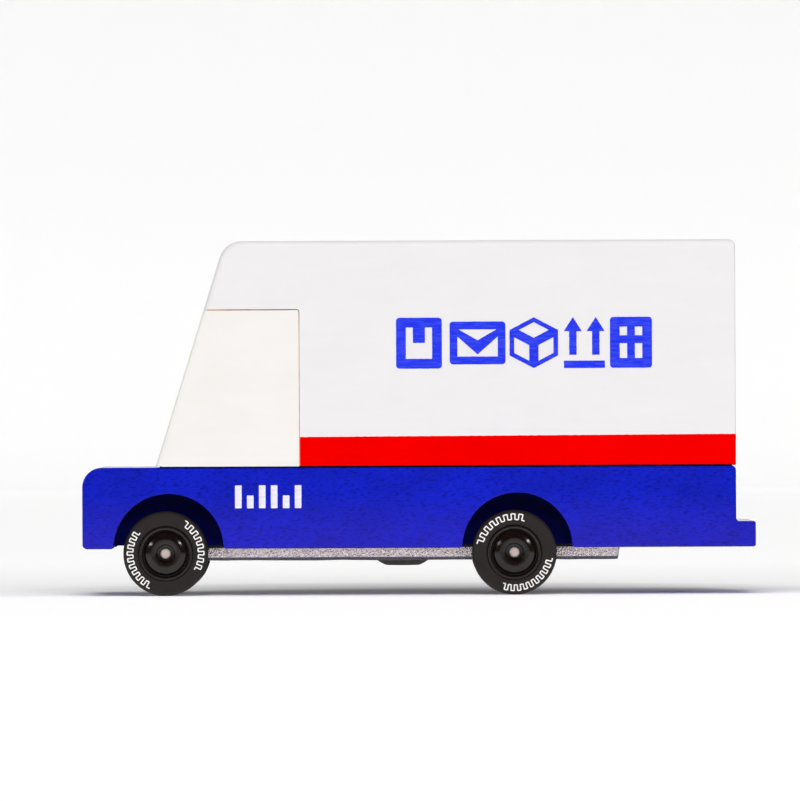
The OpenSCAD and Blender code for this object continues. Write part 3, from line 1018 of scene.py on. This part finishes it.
rim_black = gloss_moulding()
well_shade_black = well_shade_finish()
for end, x in wheelsets:
    for side, word in ((-1, "left"), (1, "right")):
        rim = turned(rim_profile())
        # Faces in the cap's well take material 1, darkened as painted shade.
        for face in rim.faces:
            centre = face.calc_center_median()
            if math.hypot(centre.x, centre.y) < cap_well + 0.02 and centre.z > rim_face_y:
                face.material_index = 1
        piece(f"{end}_{word}_wheel_rim", across_at(rim, x, side), f"{end}_wheelset",
              [rim_black, well_shade_black], [f"{end}_{word}_rim"])


# --------------------------------------------------------------------- tyres
# Smooth black rubber tyres, stretched over the rims. White ink is printed in
# two arcs on each outer face: here a plain meander line, thin and even.

shoulder = 0.55
print_inner, print_outer, print_line = 4.86, 5.7, 0.17
print_arcs = {"front": ((59, -30, 8), (245, 140, 10)), "rear": ((167, 71, 8), (-9, -111, 10))}


def tyre_profile():
    middle = (tyre_inner_y + tyre_outer_y) / 2
    height, half = rim_rib
    corners = [
        (rim_seat, tyre_inner_y, 0.12), (tyre_radius, tyre_inner_y, shoulder),
        (tyre_radius, tyre_outer_y, shoulder), (rim_seat + 0.12, tyre_outer_y, 0.1),
        (rim_seat, tyre_outer_y - 0.24, 0.05), (rim_seat, middle + half, 0),
        (rim_seat + height, middle + half, 0), (rim_seat + height, middle - half, 0),
        (rim_seat, middle - half, 0),
    ]
    return [(r, y) for r, y, _, _ in rounded([(*c, 0) for c in corners], 7)]


def meander(start, end, periods):
    """Square wave line between two radii, as one closed loop of (radius, angle) points."""
    wave = []
    steps = periods * 2
    for k in range(steps):
        a, b = (start + (end - start) * (k + s) / steps for s in (0, 1))
        level = print_outer if k % 2 == 0 else print_inner
        wave += [(level, a), (level, b)]
    return wave


def meander_film(x, side, arcs):
    """The printed line on one tyre's outer face, as a thin film."""
    bm = bmesh.new()
    top = side * (tyre_outer_y + ink_proud)
    base = side * (tyre_outer_y - ink_sink)
    half = print_line / 2

    def strip(points):
        """A band of ink along points in the wheel's plane, closed all round."""
        rows = []
        for i, p in enumerate(points):
            run = (points[min(i + 1, len(points) - 1)] - points[max(i - 1, 0)]).normalized()
            out = Vector((-run.y, run.x)) * half
            rows.append([bm.verts.new((x + q.x, y, axle_z + q.y))
                         for q, y in ((p + out, base), (p + out, top), (p - out, top), (p - out, base))])
        for a, b in zip(rows, rows[1:]):
            for k in range(4):
                bm.faces.new((a[k], a[(k + 1) % 4], b[(k + 1) % 4], b[k]))
        bm.faces.new(rows[0])
        bm.faces.new(rows[-1])

    for start, end, periods in arcs:
        wave = meander(math.radians(start), math.radians(end), periods)
        points = []
        for (r0, a0), (r1, a1) in zip(wave, wave[1:]):
            n = 6 if r0 == r1 else 3
            for k in range(n):
                radius, turn = r0 + (r1 - r0) * k / n, a0 + (a1 - a0) * k / n
                points.append(Vector((radius * math.cos(turn), radius * math.sin(turn))))
        strip(points)
    return outward(bm)


def tyre_rubber():
    """Black rubber, a little brown, with a matt moulded skin of fine pimples and pale dusty patches."""
    material, shader = finish("black tyre rubber")
    pimples = mottle(material, (0.3, 0.3, 0.3))
    patches = mottle(material, (3, 3, 3), 3.0)
    plug(material, shader, Base_Color=blend(material, patches, "#1A1413", "#221C1B"),
         Normal=raised(material, pimples, 0.25, 0.00005), Roughness=0.6, Specular_IOR_Level=0.4)
    return material


rubber = tyre_rubber()
tyre_ink = ink("white tyre ink", "#F2F0EE", "#DCD8D4", 0.5)
for end, x in wheelsets:
    for side, word in ((-1, "left"), (1, "right")):
        piece(f"{end}_{word}_rubber_tyre", across_at(turned(tyre_profile()), x, side), f"{end}_wheelset",
              [rubber], [f"{end}_{word}_tyre"])
        piece(f"{end}_{word}_tyre_print", meander_film(x, side, print_arcs[end]), f"{end}_wheelset",
              [tyre_ink])


# ------------------------------------------------------------------- setting
# A sheet of white paper that sweeps up a little way behind the truck, a high and
# a low wide light in front of it, two small soft boxes at its sides, and a long
# lens level with the cargo box.

shade_middle_y, shade_half_x, shade_half_y, shade_depth = 0.045, 0.066, 0.085, 0.55


def white_paper():
    """Matt white paper, brightened in front of the truck and far behind it, with a soft oval of shade
    under and behind the truck. Its wall is a little greyer, so that it reads as an even white."""
    paper, shader = finish("white paper sweep")
    y = place(paper, "Y")
    here = add(paper, "TexCoord").outputs["Object"]
    oval = add(paper, "Mapping", {"vector_type": "TEXTURE"}, Vector=here,
               Location=(0.0, shade_middle_y, 0.0), Scale=(shade_half_x, shade_half_y, 1.0))
    pool = add(paper, "TexGradient", {"gradient_type": "SPHERICAL"}, Vector=oval.outputs[0])
    shade = reckon(paper, "MULTIPLY", pool.outputs["Fac"], shade_depth)
    sheet = blend(paper, spread(paper, y, 2.3, 2.58), "#FCFBFB", "#D6D5D5")
    near = spread(paper, y, -0.025, -0.005, 0.16, 0.05)
    glow = spread(paper, y, 0.08, 0.35, 0.0, 0.115)
    plug(paper, shader, Base_Color=blend(paper, shade, sheet, "#000000"),
         Emission_Color=linear("#FFFFFF"), Emission_Strength=reckon(paper, "ADD", near, glow),
         Normal=raised(paper, mottle(paper, (0.6, 0.6, 0.6)), 0.05), Roughness=0.95, Specular_IOR_Level=0.0)
    return paper


def sweep():
    """The paper: flat under the truck, then curved up to a low wall behind it."""
    start, wall, bend, top = -1.6, 2.6, 0.2, 0.34
    profile = [(start, 0.0)]
    profile += [(y, z + bend) for y, z in arc(wall - bend, 0, bend, -math.pi / 2, 0, 12)] + [(wall, top)]
    bm = bmesh.new()
    rows = [[bm.verts.new((x, y, z)) for x in (-1.2, 1.2)] for y, z in profile]
    for a, b in zip(rows, rows[1:]):
        bm.faces.new((a[0], a[1], b[1], b[0]))
    mesh = bpy.data.meshes.new("paper_sweep")
    bm.to_mesh(mesh)
    bm.free()
    mesh.polygons.foreach_set("use_smooth", [True] * len(mesh.polygons))
    mesh.materials.append(white_paper())
    ob = bpy.data.objects.new("paper_sweep", mesh)
    bpy.context.scene.collection.objects.link(ob)


def aim(ob, at, to):
    """Puts an object at a place and points it at another."""
    ob.location = at
    ob.rotation_euler = (Vector(to) - Vector(at)).to_track_quat("-Z", "Y").to_euler()


def lamp(name, kind, at, power, **settings):
    light = bpy.data.lights.new(name, kind)
    light.energy = power
    for key, value in settings.items():
        setattr(light, key, value)
    ob = bpy.data.objects.new(name, light)
    bpy.context.scene.collection.objects.link(ob)
    ob.visible_glossy = kind == "AREA"
    aim(ob, at, (0, 0, 0.025))


sweep()
lamp("high_front_light", "SUN", (-0.15, -1.0, 1.7), 1.75, angle=math.radians(34))
lamp("low_front_light", "SUN", (0.1, -1.0, 0.4), 1.335, angle=math.radians(26))
lamp("left_soft_box", "AREA", (-0.95, -1.0, 0.55), 1.4, shape="RECTANGLE", size=0.3, size_y=0.1)
lamp("right_soft_box", "AREA", (0.8, -1.0, 0.62), 1.8, shape="ELLIPSE", size=0.17, size_y=0.12)

world = bpy.data.worlds.new("studio")
world.use_nodes = True
direction = add(world, "SeparateXYZ", Vector=add(world, "TexCoord").outputs["Generated"])
plug(world, world.node_tree.nodes["Background"], Color=linear("#FFFFFF"),
     Strength=spread(world, direction.outputs["Y"], 0.15, 0.8, 0.03, 0.6))
bpy.context.scene.world = world
bpy.context.scene.view_settings.view_transform = "Standard"

camera_distance = 1.998
view_width = 0.1189
view_x, view_z = -0.00275, 0.0289
camera_roll = 0.25

lens = bpy.data.cameras.new("long_lens")
lens.sensor_width = 36
lens.lens = 36 * camera_distance / view_width
lens.clip_start, lens.clip_end = 0.05, 20
camera = bpy.data.objects.new("camera", lens)
bpy.context.scene.collection.objects.link(camera)
camera.location = (view_x, -side_y / 1000 - camera_distance, view_z)
camera.rotation_euler = (math.pi / 2, math.radians(camera_roll), 0)
bpy.context.scene.camera = camera
